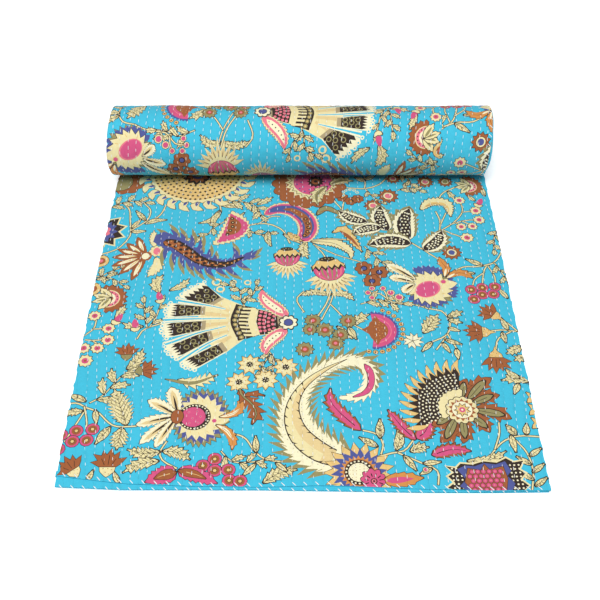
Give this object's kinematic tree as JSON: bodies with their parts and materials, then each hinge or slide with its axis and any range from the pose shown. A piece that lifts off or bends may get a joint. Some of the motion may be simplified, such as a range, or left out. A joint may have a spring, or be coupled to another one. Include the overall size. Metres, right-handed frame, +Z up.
{
  "type": "kantha quilt",
  "caption": "Thin quilted cotton bedspread, folded lengthwise in layers and part rolled up from one end, lying flat on a surface.",
  "frame": {"origin": "on the floor, under the middle of the whole folded and rolled quilt", "axes": "+Z up from the floor, +Y from the front hem towards the roll, +X along the roll to the right"},
  "size_m": [0.6948, 0.7598, 0.1322],
  "materials": {
    "printed_cotton": "matt printed cotton with running stitches"
  },
  "bodies": {
    "root": {"quilt": "printed_cotton"}
  },
  "joints": []
}
